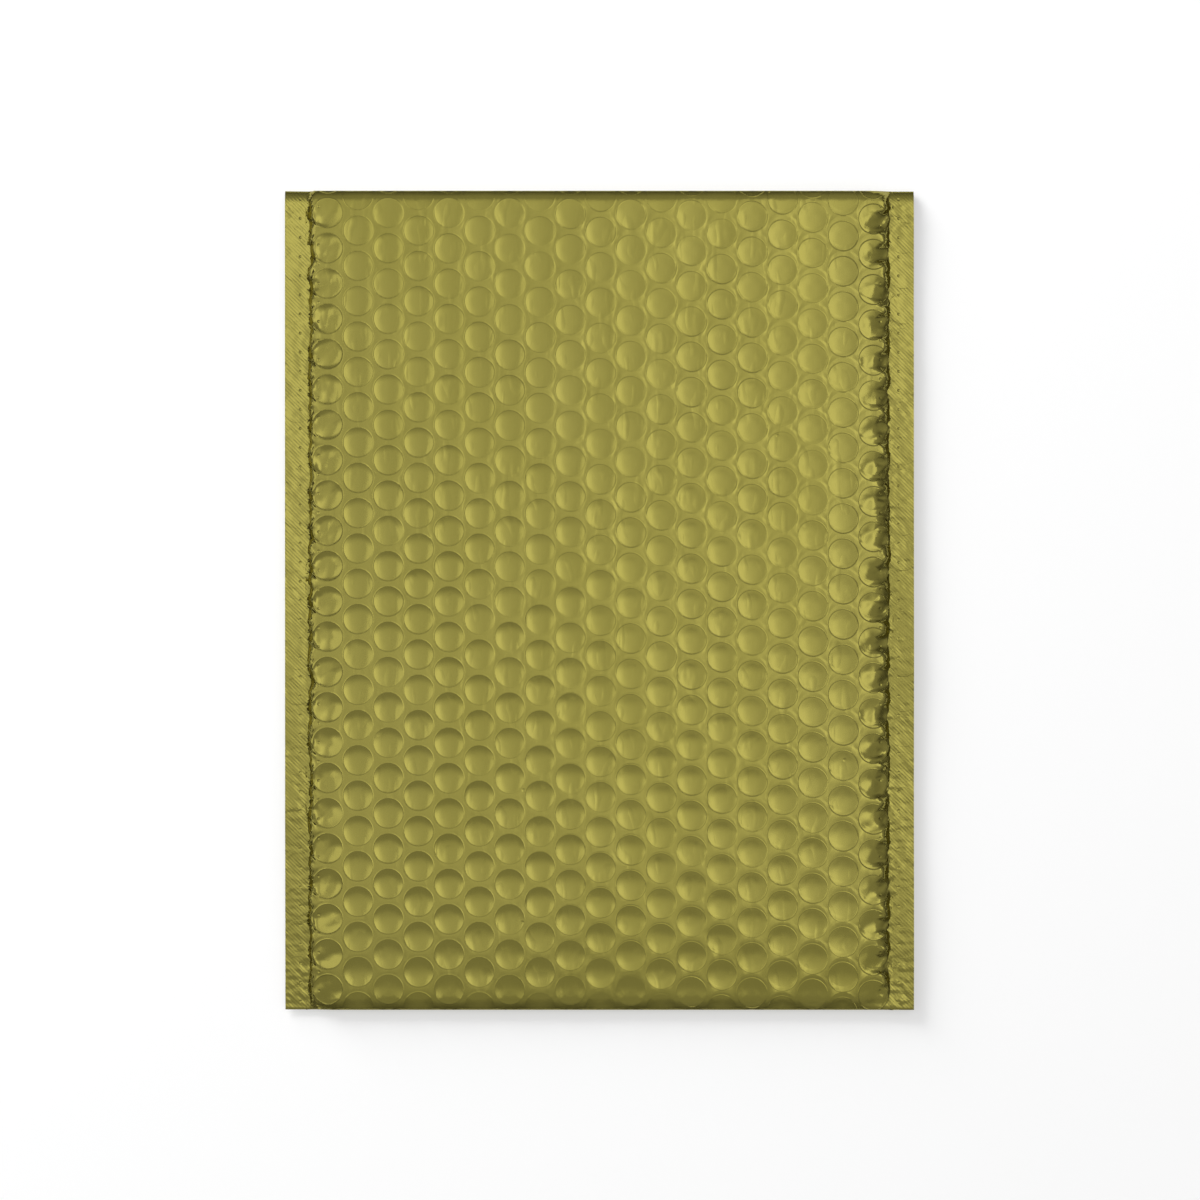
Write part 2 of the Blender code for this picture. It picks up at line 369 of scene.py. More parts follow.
def keep_web_places(obj: bpy.types.Object, flat: np.ndarray) -> None:
    """Stores where each point lies on the flat web of film, for the finish to read.

    Args:
        obj: The object, before it is folded.
        flat: Its points on the web.
    """
    layer = obj.data.uv_layers.new(name=WEB_MAP)
    corners = np.empty(len(obj.data.loops), dtype=np.int32)
    obj.data.loops.foreach_get("vertex_index", corners)
    layer.data.foreach_set("uv", flat[corners, :2].astype(np.float32).reshape(-1))


def open_edit(obj: bpy.types.Object) -> None:
    """Opens one object alone for editing."""
    make_active(obj)
    bpy.ops.object.mode_set(mode="EDIT")


def close_edit() -> None:
    """Closes the object that is open for editing."""
    bpy.ops.object.mode_set(mode="OBJECT")


def select_none(kind: str) -> None:
    """Selects nothing in the open mesh, and sets whether it selects by EDGE or FACE."""
    bpy.ops.mesh.select_mode(type=kind)
    bpy.ops.mesh.select_all(action="DESELECT")


def select_faces(obj: bpy.types.Object, keep: Callable[[Vector], bool]) -> None:
    """Selects the faces of the open mesh whose centre passes a test.

    Args:
        obj: The object, already in edit mode.
        keep: A test that takes a face's centre.
    """
    select_none("FACE")
    bm = bmesh.from_edit_mesh(obj.data)
    for face in bm.faces:
        if keep(face.calc_center_median()):
            face.select_set(True)
    bmesh.update_edit_mesh(obj.data)


def select_edges(obj: bpy.types.Object, keep: Callable[[bmesh.types.BMEdge], bool]) -> None:
    """Selects the edges of the open mesh that pass a test.

    Args:
        obj: The object, already in edit mode.
        keep: A test that takes an edge.
    """
    select_none("EDGE")
    bm = bmesh.from_edit_mesh(obj.data)
    for edge in bm.edges:
        edge.select_set(keep(edge))
    bmesh.update_edit_mesh(obj.data)


def bisect(obj: bpy.types.Object, point: tuple, normal: tuple, **clear: bool) -> None:
    """Cuts the whole mesh along a plane, in edit mode.

    Args:
        obj: The object, already in edit mode; not used.
        point: A point on the plane.
        normal: The plane's normal.
        **clear: clear_outer or clear_inner, to drop what lies on that side.
    """
    bpy.ops.mesh.select_all(action="SELECT")
    bpy.ops.mesh.bisect(plane_co=point, plane_no=normal, threshold=1e-6, **clear)


@dataclass
class BubbleCell:
    """One bubble and its share of the web around it, flat, as a six-sided tile."""

    lattice: Lattice
    sides: int = 18
    inner: float = 0.46
    rings: tuple[float, ...] = (0.80, 0.985, 1.11)
    beyond: float = 1.2

    def hexagon(self) -> list[tuple[float, float]]:
        """The tile's boundary points, anticlockwise from the +X corner."""
        a, b = self.lattice.column_pitch, self.lattice.row_pitch
        wide = a / 2 + b * b / (8 * a)
        narrow = a / 2 - b * b / (8 * a)
        corners = [(wide, 0.0), (narrow, b / 2), (-narrow, b / 2)]
        corners += [(-wide, 0.0), (-narrow, -b / 2), (narrow, -b / 2)]
        steps = self.sides // len(corners)
        points = []
        for (x0, y0), (x1, y1) in zip(corners, corners[1:] + corners[:1]):
            for step in range(steps):
                share = step / steps
                points.append((x0 + (x1 - x0) * share, y0 + (y1 - y0) * share))
        return points

    def build(self, name: str) -> bpy.types.Object:
        """Models the tile: a disc, extruded ring by ring out to its boundary.

        Args:
            name: The object's name.

        Returns:
            The flat tile, centred on the origin.
        """
        start_fresh()
        radius = self.lattice.radius
        bpy.ops.mesh.primitive_circle_add(
            vertices=self.sides, radius=radius * self.inner, fill_type="TRIFAN",
            rotation=(0.0, 0.0, math.pi / self.sides),
        )
        tile = bpy.context.active_object
        tile.name = name
        bpy.ops.object.transform_apply(rotation=True)
        open_edit(tile)
        select_edges(tile, lambda edge: edge.is_boundary)
        reached = self.inner
        for ring in (*self.rings, self.beyond):
            bpy.ops.mesh.extrude_edges_move()
            bpy.ops.transform.resize(value=(ring / reached, ring / reached, 1.0))
            reached = ring
        bm = bmesh.from_edit_mesh(tile.data)
        between = (self.rings[-1] + self.beyond) / 2
        outer = [v for v in bm.verts if v.co.length > radius * between]
        outer.sort(key=lambda v: math.atan2(v.co.y, v.co.x) % (2 * math.pi - 1e-6))
        for vert, (x, y) in zip(outer, self.hexagon()):
            vert.co = (x, y, 0.0)
        bmesh.update_edit_mesh(tile.data)
        rim = radius * self.rings[-2]
        select_edges(tile, lambda edge: all(abs(v.co.length - rim) < TOUCH for v in edge.verts))
        bpy.ops.mesh.mark_sharp()
        close_edit()
        return tile

    def web(self, name: str, low: float, high: float) -> bpy.types.Object:
        """Tiles a stretch of the flat web, one column wider than the bubbles on each side.

        Args:
            name: The object's name.
            low: The stretch's lower end, in web coordinates.
            high: Its upper end.

        Returns:
            The flat web of merged tiles.
        """
        web = self.build(name)
        lattice = self.lattice
        make_active(web)
        bpy.ops.object.duplicate()
        twin = bpy.context.active_object
        bpy.ops.transform.translate(value=(lattice.column_pitch, lattice.row_pitch / 2, 0.0))
        bpy.ops.object.transform_apply(location=True)
        twin.select_set(True)
        web.select_set(True)
        bpy.context.view_layer.objects.active = web
        bpy.ops.object.join()
        across = (lattice.columns + 3) // 2
        first_row = math.ceil((high - lattice.first_y) / lattice.row_pitch) + 1
        rows = first_row + math.ceil((lattice.first_y - low) / lattice.row_pitch) + 1
        merge = {"use_merge_vertices": True, "merge_threshold": TOUCH,
                 "use_relative_offset": False, "use_constant_offset": True}
        apply_modifier(web, "ARRAY", "across", count=across,
                       constant_offset_displace=(2 * lattice.column_pitch, 0.0, 0.0), **merge)
        apply_modifier(web, "ARRAY", "along", count=rows,
                       constant_offset_displace=(0.0, -lattice.row_pitch, 0.0), **merge)
        apply_modifier(web, "WELD", "weld", merge_threshold=TOUCH)
        points = read_points(web)
        points[:, 0] += lattice.first_x - 2 * lattice.column_pitch
        points[:, 1] += lattice.first_y + first_row * lattice.row_pitch
        write_points(web, points)
        return web


@dataclass(frozen=True)
class Spots:
    """Points on the flat web, each with its place on the nearest bubble.

    reach is the distance from the bubble's centre over its radius, and turn is the direction.
    """

    x: np.ndarray
    y: np.ndarray
    column: np.ndarray
    row: np.ndarray
    dx: np.ndarray
    dy: np.ndarray
    reach: np.ndarray
    turn: np.ndarray


@dataclass
class FilmSkin:
    """How the film lies on the bubbles: dished over each one, and slightly proud between them.

    A zone is where, along the front, a change starts, and the length that it takes.
    """

    form: PouchForm
    lattice: Lattice
    rim: float = 0.985
    depth: float = 0.42 * MM
    flat_depth: float = 0.31 * MM
    uneven: float = 0.13
    lean: float = 0.04 * MM
    buckle: float = 0.028 * MM
    fold: float = 0.19 * MM
    crease: float = 0.13 * MM
    gutter: float = 0.14 * MM
    saddle: float = 0.04 * MM
    valley: float = 1.11
    wave: float = 0.12 * MM
    deep_zone: tuple[float, float] = (115.0 * MM, 110.0 * MM)
    low_zone: tuple[float, float] = (50.0 * MM, 170.0 * MM)
    right_run: float = 5.6 * MM
    seed: int = 7

    def random(self, which: int, spots: Spots) -> np.ndarray:
        """A random value between -1 and 1 that belongs to each point's bubble."""
        return ValueNoise(self.seed * 31 + which).corner(spots.column, spots.row)

    def spots(self, x: np.ndarray, y: np.ndarray) -> Spots:
        """Finds each point's place on its nearest bubble."""
        lattice = self.lattice
        column, row, dx, dy = lattice.nearest(x, y - lattice.bend_at(x))
        reach = np.hypot(dx, dy) / lattice.radius
        return Spots(x, y, column, row, dx, dy, reach, np.arctan2(dy, dx))

    def down(self, y: np.ndarray, zone: tuple[float, float]) -> np.ndarray:
        """Share of a zone that lies above each point, the back taken as the front's middle."""
        front_y = np.where(y < self.form.bottom, 0.0, y)
        return np.clip((zone[0] - front_y) / zone[1], 0.0, 1.0)

    def crumple(self, spots: Spots) -> np.ndarray:
        """Slanting folds in a half collapsed bubble at the pouch's edge.

        Args:
            spots: The points.

        Returns:
            The offset outwards.
        """
        turn = 0.9 + 0.5 * self.random(11, spots)
        across = spots.dx * np.sin(turn) - spots.dy * np.cos(turn)
        along = spots.dx * np.cos(turn) + spots.dy * np.sin(turn)
        bend = across + 0.05 / MM * along**2 * self.random(12, spots)
        phase = bend / (2.1 * MM) + 2.0 * self.random(13, spots)
        return self.fold * np.sin(phase * math.pi / 1.6) - self.crease * np.abs(np.sin(phase * 0.8))

    def edge_run(self, x: np.ndarray, along: np.ndarray) -> np.ndarray:
        """How far the pouch takes to swell out of its seals, scalloped by the bubbles.

        Args:
            x: Places across the width.
            along: Places along the web.

        Returns:
            The run at each place.
        """
        lattice = self.lattice
        column = np.where(x < 0.0, 0.0, lattice.columns - 1.0)
        centre = lattice.first_y + lattice.bend_at(lattice.first_x + column * lattice.column_pitch)
        phase = 2 * math.pi * (along - centre) / lattice.row_pitch
        noise = ValueNoise(self.seed + 90).at(along / (3.0 * MM), column)
        fast = ValueNoise(self.seed + 93).at(along / (1.2 * MM), column)
        wide = 0.5 * np.cos(phase + np.where(x < 0.0, 0.9, 0.2)) + 0.5 * noise + 0.3 * fast
        run = np.where(x < 0.0, self.form.side_run, self.right_run)
        return run * np.clip(1.0 + wide, 0.45, 2.0)

    def edge_wander(self, x: np.ndarray, along: np.ndarray) -> np.ndarray:
        """How far the crinkled line where the pouch meets its seals wanders outwards.

        Args:
            x: Places across the width.
            along: Places along the web.

        Returns:
            The offset at each place.
        """
        side = np.sign(x)
        slow = ValueNoise(self.seed + 91).at(along / (3.6 * MM), side)
        fast = ValueNoise(self.seed + 92).at(along / (1.1 * MM), side)
        return 0.45 * MM * slow + 0.35 * MM * fast

    def bowl(self, spots: Spots, low: np.ndarray) -> np.ndarray:
        """Height of the film inside the bubbles' rims, which is mostly below zero.

        Args:
            spots: The points.
            low: Share of the lower zone above each of them.

        Returns:
            The offset outwards.
        """
        inside, turn = np.clip(spots.reach / self.rim, 0.0, 1.0), spots.turn
        sunk = self.down(spots.y, self.deep_zone)
        hollow = self.flat_depth + (self.depth - self.flat_depth) * sunk
        hollow = hollow * (1.0 + self.uneven * self.random(1, spots))
        power = 4.0 - (0.7 + 0.9 * np.sin(turn) ** 2) * sunk * (1.0 - 0.7 * low)
        bowl = -hollow * (1.0 - inside**power)
        across, along = self.random(2, spots), 0.4 * self.random(3, spots)
        lean = across * np.cos(turn) + along * np.sin(turn)
        bowl += self.lean * inside * (1.0 - inside**5) * lean
        buckle = self.buckle * self.random(4, spots) * inside**2 * (1.0 - inside**4)
        bowl += buckle * np.cos(2 * turn + 3 * self.random(5, spots))
        edge = (spots.column < 1) | (spots.column >= self.lattice.columns - 1)
        return bowl + np.where(edge, self.crumple(spots) * (1.0 - inside**6), 0.0)

    def between(self, spots: Spots, low: np.ndarray) -> np.ndarray:
        """Height of the film outside the rims: a gutter round each, then a slight rise.

        Args:
            spots: The points.
            low: Share of the lower zone above each of them.

        Returns:
            The offset outwards.
        """
        gutter = self.gutter * (0.25 + 0.75 * np.cos(spots.turn) ** 2) * (1.0 - 0.6 * low)
        gutter = gutter * (1.0 + 0.3 * self.random(6, spots))
        fall = np.clip((spots.reach - self.rim) / (self.valley - self.rim), 0.0, 1.0)
        rise = np.clip((spots.reach - self.valley) / 0.2, 0.0, 1.0)
        return self.saddle * rise - gutter * fall * (1.0 - rise)

    def dish(self, x: np.ndarray, y: np.ndarray) -> np.ndarray:
        """Height of the film over the plain pouch.

        Args:
            x: Places across the width.
            y: Places along the web.

        Returns:
            The offset outwards.
        """
        spots, low = self.spots(x, y), self.down(y, self.low_zone)
        mouth, seal_line = self.form.mouth, self.form.seal_line
        offset = np.where(
            spots.reach < self.rim, self.bowl(spots, low), self.between(spots, low)
        )
        offset = offset * (1.0 - 0.65 * smooth_step(mouth - 5.0 * MM, mouth - MM, y))
        spare = (spots.column < 0) | (spots.column >= self.lattice.columns)
        offset = offset * np.where(spare, 0.12, 1.0)
        side = smooth_step(seal_line + 0.8 * MM, seal_line - 1.2 * MM, np.abs(x))
        wave = ValueNoise(self.seed + 50).at(x / (19.0 * MM), y / (31.0 * MM))
        return (offset + self.wave * wave) * side


@dataclass
class FilmPanels:
    """The one web of film: the front with its flap, and the back, meeting under the bottom fold."""

    form: PouchForm
    lattice: Lattice
    thickness: float = 0.1 * MM
    inner_share: float = 0.72
    wrap: float = 6.0 * MM
    margin: float = 2.2 * MM
    lap: float = 0.7 * MM
    crumpled: float = 3.4 * MM
    skin: FilmSkin = field(init=False)

    def __post_init__(self) -> None:
        """Sets up the film's lie over the bubbles."""
        self.skin = FilmSkin(self.form, self.lattice)

    def place(self, flat: np.ndarray) -> np.ndarray:
        """Folds flat web points round the pouch.

        Args:
            flat: Points on the web, its second coordinate running on past both folds.

        Returns:
            The points in the model's frame.
        """
        form = self.form
        x, along = flat[:, 0], flat[:, 1]
        offset = self.skin.dish(x, along)
        back = along < form.bottom
        y = np.where(back, 2 * form.bottom - along, np.minimum(along, form.mouth))
        edge = {"run": self.skin.edge_run(x, along), "wander": self.skin.edge_wander(x, along)}
        half = np.where(back, form.half(x, y, back=True, **edge), form.half(x, y, **edge))
        sign = np.where(back, -1.0, 1.0)
        dive = 0.5 * np.clip(np.abs(x) - form.seal_line - 0.5 * MM, 0.0, None)
        dive *= smooth_step(form.mouth - 0.4 * MM, form.mouth - 2.5 * MM, y)
        near_fold = np.clip((y - form.bottom) / (2.0 * MM), 0.0, 1.0)
        crinkle = self.crinkle(x, y, along)
        shoulder = np.where(back, 0.0, form.shoulder(y))
        lift = form.curl(x, y) - shoulder
        thick = np.maximum(half - dive + (offset + crinkle) * near_fold, -0.1 * MM)
        z = np.maximum(form.full_half + sign * thick + lift, 0.0)
        arc = np.clip(along - form.mouth, 0.0, None)
        top = form.full_half + lift + form.half(x, np.full_like(x, form.mouth), **edge)
        out, height, slope = form.over_fold(arc, top)
        fade = smooth_step(0.75, 0.25, slope)
        fold_y = form.mouth + out + offset * fade * np.sin(slope)
        fold_z = height + offset * fade * np.cos(slope)
        over = arc > 0.0
        return np.stack([x, np.where(over, fold_y, y), np.where(over, fold_z, z)], axis=1)

    def crinkle(self, x: np.ndarray, y: np.ndarray, along: np.ndarray) -> np.ndarray:
        """Slanting crinkles along the lines where the pouch meets its seals.

        Args:
            x: Places across the width.
            y: Places along the length.
            along: Places along the web.

        Returns:
            The offset outwards.
        """
        out, line, mouth = np.abs(x), self.form.seal_line, self.form.mouth
        broad = ValueNoise(61).at((along - 0.7 * out) / (1.7 * MM), x / (2.4 * MM))
        fine = ValueNoise(62).at((along + x) / (0.9 * MM), x / (1.4 * MM))
        crinkle = 0.30 * MM * broad + 0.09 * MM * fine
        crinkle *= smooth_step(line - 3.2 * MM, line - 0.4 * MM, out)
        crinkle *= smooth_step(mouth, mouth - 3.0 * MM, y)
        return crinkle * smooth_step(line + 1.8 * MM, line + 0.8 * MM, out)

    def cut_rows(self, web: bpy.types.Object, rows: list[float], columns: list[float]) -> None:
        """Adds straight rows and columns of edges where the film bends sharply.

        Args:
            web: The flat web, in edit mode.
            rows: Where the extra rows go, along the web.
            columns: Where the extra columns go, on both sides of the middle.
        """
        for row in rows:
            bisect(web, (0.0, row, 0.0), (0.0, 1.0, 0.0))
        for column in columns:
            for side in (-1, 1):
                bisect(web, (side * column, 0.0, 0.0), (1.0, 0.0, 0.0))

    def finish(self, web: bpy.types.Object) -> None:
        """Folds the flat web and gives it its thickness, inwards, with a lighter mesh there.

        Args:
            web: The trimmed flat web.
        """
        flat = read_points(web)
        keep_web_places(web, flat)
        write_points(web, self.place(flat))
        make_active(web)
        bpy.ops.object.shade_smooth()
        open_edit(web)
        select_none("EDGE")
        bpy.ops.mesh.select_non_manifold()
        bpy.ops.mesh.mark_sharp()
        close_edit()
        outer = len(web.data.polygons)
        apply_modifier(web, "SOLIDIFY", "film", thickness=self.thickness, offset=-1.0,
                       use_even_offset=False)
        open_edit(web)
        select_none("FACE")
        bm = bmesh.from_edit_mesh(web.data)
        bm.faces.ensure_lookup_table()
        for face in bm.faces[outer:2 * outer]:
            face.select_set(True)
        bmesh.update_edit_mesh(web.data)
        bpy.ops.mesh.decimate(ratio=self.inner_share)
        close_edit()

    def build_front(self) -> bpy.types.Object:
        """The front film, over the mouth as the flap and round the bottom fold."""
        form = self.form
        low = form.bottom - self.wrap
        fold = form.mouth + form.over_length() + 0.8 * MM
        over = form.mouth + form.over_length() + form.under_length()
        web = BubbleCell(self.lattice).web("front_film", low, fold + 2.0 * MM)
        open_edit(web)
        self.trim(web, low, fold, form.width / 2)
        rows = [form.bottom + side * step * MM for step in (0.0, 0.4, 1.2, 2.4) for side in (-1, 1)]
        rows += [form.bottom + 4.0 * MM]
        rows += [form.mouth + step * MM for step in (0.0, self.lap / MM, 1.5, 2.3, 3.0, 3.7)]
        rows += [form.mouth + form.over_length()]
        limit, top = form.seal_line + self.margin, form.mouth + self.lap
        self.cut_rows(web, sorted(set(rows)), [limit])
        select_faces(web, lambda c: abs(c.x) > limit and c.y < top)
        bpy.ops.mesh.delete(type="FACE")
        self.refine_edges(web)
        self.extrude_flap(web, fold, over)
        close_edit()
        self.finish(web)
        return web

    def trim(self, web: bpy.types.Object, low: float, high: float, limit: float) -> None:
        """Cuts the flat web to its outline.

        Args:
            web: The flat web, in edit mode.
            low: Its lower end along the web.
            high: Its upper end.
            limit: How far it reaches to each side of the middle.
        """
        bisect(web, (0.0, low, 0.0), (0.0, 1.0, 0.0), clear_inner=True)
        bisect(web, (0.0, high, 0.0), (0.0, 1.0, 0.0), clear_outer=True)
        bisect(web, (limit, 0.0, 0.0), (1.0, 0.0, 0.0), clear_outer=True)
        bisect(web, (-limit, 0.0, 0.0), (1.0, 0.0, 0.0), clear_inner=True)

    def refine_edges(self, web: bpy.types.Object) -> None:
        """Splits the faces of the outermost bubbles, which are crumpled."""
        form = self.form
        inner, outer = form.seal_line - self.crumpled, form.seal_line + self.margin
        select_faces(web, lambda c: inner < abs(c.x) < outer and form.bottom < c.y < form.mouth)
        bpy.ops.mesh.subdivide(number_cuts=1)

    def extrude_flap(self, web: bpy.types.Object, fold: float, over: float) -> None:
        """Runs the film on from the fold's outer side to the flap's free edge.

        Args:
            web: The flat web, in edit mode.
            fold: Where the tiled web ends.
            over: Where the fold ends and the flat flap starts.
        """
        select_edges(web, lambda edge: all(abs(v.co.y - fold) < TOUCH / 2 for v in edge.verts))
        stops = [fold + (over - fold) * share for share in (0.15, 0.3, 0.5, 0.7, 0.85, 1.0)]
        flat = self.form.mouth - self.form.flap_edge
        stops += [over + flat * share for share in (0.1, 0.3, 0.5, 0.7, 0.9, 1.0)]
        reached = fold
        for stop in stops:
            bpy.ops.mesh.extrude_edges_move()
            bpy.ops.transform.translate(value=(0.0, stop - reached, 0.0))
            reached = stop

    def build_back(self) -> bpy.types.Object:
        """The back film, from under the bottom fold to its edge at the mouth."""
        form = self.form
        high = form.bottom - self.wrap
        low = 2 * form.bottom - form.mouth
        web = BubbleCell(self.lattice, sides=12).web("back_film", low, high)
        open_edit(web)
        self.trim(web, low, high, form.seal_line + self.margin)
        step, edge = 2 * form.bottom - form.flap_edge, form.seal_line
        self.cut_rows(web, [step, step + form.hollow_run], [edge, edge - 1.2 * MM])
        close_edit()
        self.finish(web)
        return web


@dataclass
class SideSeals:
    """The flat heat-sealed strips, crimped and wrinkled, with ghosts of flattened bubbles."""

    form: PouchForm
    lattice: Lattice
    overlap: float = 0.6 * MM
    columns: int = 24
    rows: int = 560
    proud: float = 0.04 * MM
    weave: float = 0.06 * MM
    scratch: float = 0.075 * MM
    swell: float = 0.12 * MM
    pucker: float = 0.20 * MM
    ghost: float = 0.07 * MM
    crease: float = -72.6 * MM
    crease_depth: float = 0.14 * MM

    def wrinkle(self, side: int, face: int, x: np.ndarray, y: np.ndarray) -> np.ndarray:
        """Height of the crimped film over the flat seal.

        Args:
            side: -1 for the left seal and 1 for the right one.
            face: 1 for the front and -1 for the back.
            x: Places across the width.
            y: Places along the length.

        Returns:
            The offset outwards.
        """
        seed = 40 + 10 * side + face
        form, lattice = self.form, self.lattice
        near = smooth_step(form.seal_line + 4.0 * MM, form.seal_line, np.abs(x))
        ends = smooth_step(form.bottom + 20.0 * MM, form.bottom + 8.0 * MM, y)
        ends = ends + 0.7 * smooth_step(form.mouth - 12.0 * MM, form.mouth - 5.0 * MM, y)
        patch = 0.5 + 0.5 * ValueNoise(seed + 5).at(x / (9.0 * MM), y / (17.0 * MM))
        rough = (0.35 if side < 0 else 0.6) + 0.9 * patch + 1.2 * ends
        diagonal, cross = (x + y) / math.sqrt(2), (x - y) / math.sqrt(2)
        weave = ValueNoise(seed).at(diagonal / (0.9 * MM), cross / (2.6 * MM))
        scratch = ValueNoise(seed + 1).at(x / (2.1 * MM), y / (1.2 * MM))
        bumps = self.weave * rough * weave + self.scratch * rough * scratch
        bumps += self.swell * ValueNoise(seed + 2).at(x / (5.0 * MM), y / (9.0 * MM))
        bumps += self.pucker * near * ValueNoise(seed + 4).at(x / (2.4 * MM), y / (1.2 * MM))
        column, row, dx, dy = lattice.nearest(x, y - lattice.bend_at(x))
        ring = np.hypot(dx, dy) / lattice.radius
        ghost = np.clip(1.0 - np.abs(ring - 0.9) / 0.10, 0.0, 1.0)
        bumps += self.ghost * ghost * (ValueNoise(seed + 3).corner(column, row) > -0.3)
        if side < 0:
            bumps -= self.crease_depth * np.exp(-((y - self.crease) / (0.6 * MM)) ** 2)
        return bumps

    def build(self, side: int, name: str) -> bpy.types.Object:
        """Models one seal as a thin slab whose two faces are crimped.

        Args:
            side: -1 for the left seal and 1 for the right one.
            name: The object's name.

        Returns:
            The finished strip.
        """
        form = self.form
        start_fresh()
        bpy.ops.mesh.primitive_grid_add(
            x_subdivisions=self.columns, y_subdivisions=self.rows, size=2.0
        )
        strip = bpy.context.active_object
        strip.name = name
        points = read_points(strip)
        inner, outer = form.seal_line - self.overlap, form.width / 2
        share = (points[:, 0] * side + 1.0) / 2
        x = side * (inner + (outer - inner) * share)
        length = form.mouth + form.over_length() - form.bottom
        y = form.bottom + length * (points[:, 1] + 1.0) / 2
        flat = np.stack([x, y, np.zeros_like(x)], axis=1)
        write_points(strip, flat)
        keep_web_places(strip, flat)
        open_edit(strip)
        bpy.ops.mesh.select_all(action="SELECT")
        bpy.ops.mesh.normals_make_consistent(inside=False)
        close_edit()
        apply_modifier(strip, "SOLIDIFY", "seal", thickness=2 * form.seal_half, offset=0.0)
        points = read_points(strip)
        face = np.where(points[:, 2] > 0.0, 1, -1)
        x, y = points[:, 0], points[:, 1]
        up = y - form.bottom
        crimp = np.sqrt(1.0 - np.clip(1.0 - up / form.seal_fold_run, 0.0, 1.0) ** 2)
        height = np.where(face > 0, self.wrinkle(side, 1, x, y), self.wrinkle(side, -1, x, y))
        calm = smooth_step(0.0, 1.5 * MM, up) * smooth_step(form.mouth, form.mouth - 2.0 * MM, y)
        thick = form.seal_half * np.maximum(crimp, 0.15) + height * calm
        lift = form.curl(x, y) - form.shoulder(y)
        lift = lift + self.proud * smooth_step(form.mouth - 2.0 * MM, form.mouth, y)
        points[:, 2] = form.full_half + face * thick + lift
        over = y > form.mouth
        out, folded, _ = form.over_fold(y - form.mouth, form.full_half + form.seal_half + lift)
        folded = np.where(face > 0, folded, folded - 2 * form.seal_half)
        points[:, 2] = np.where(over, folded, points[:, 2])
        points[:, 1] = np.where(over, form.mouth + out, y)
        write_points(strip, points)
        make_active(strip)
        bpy.ops.object.shade_smooth_by_angle(angle=math.radians(60))
        return strip


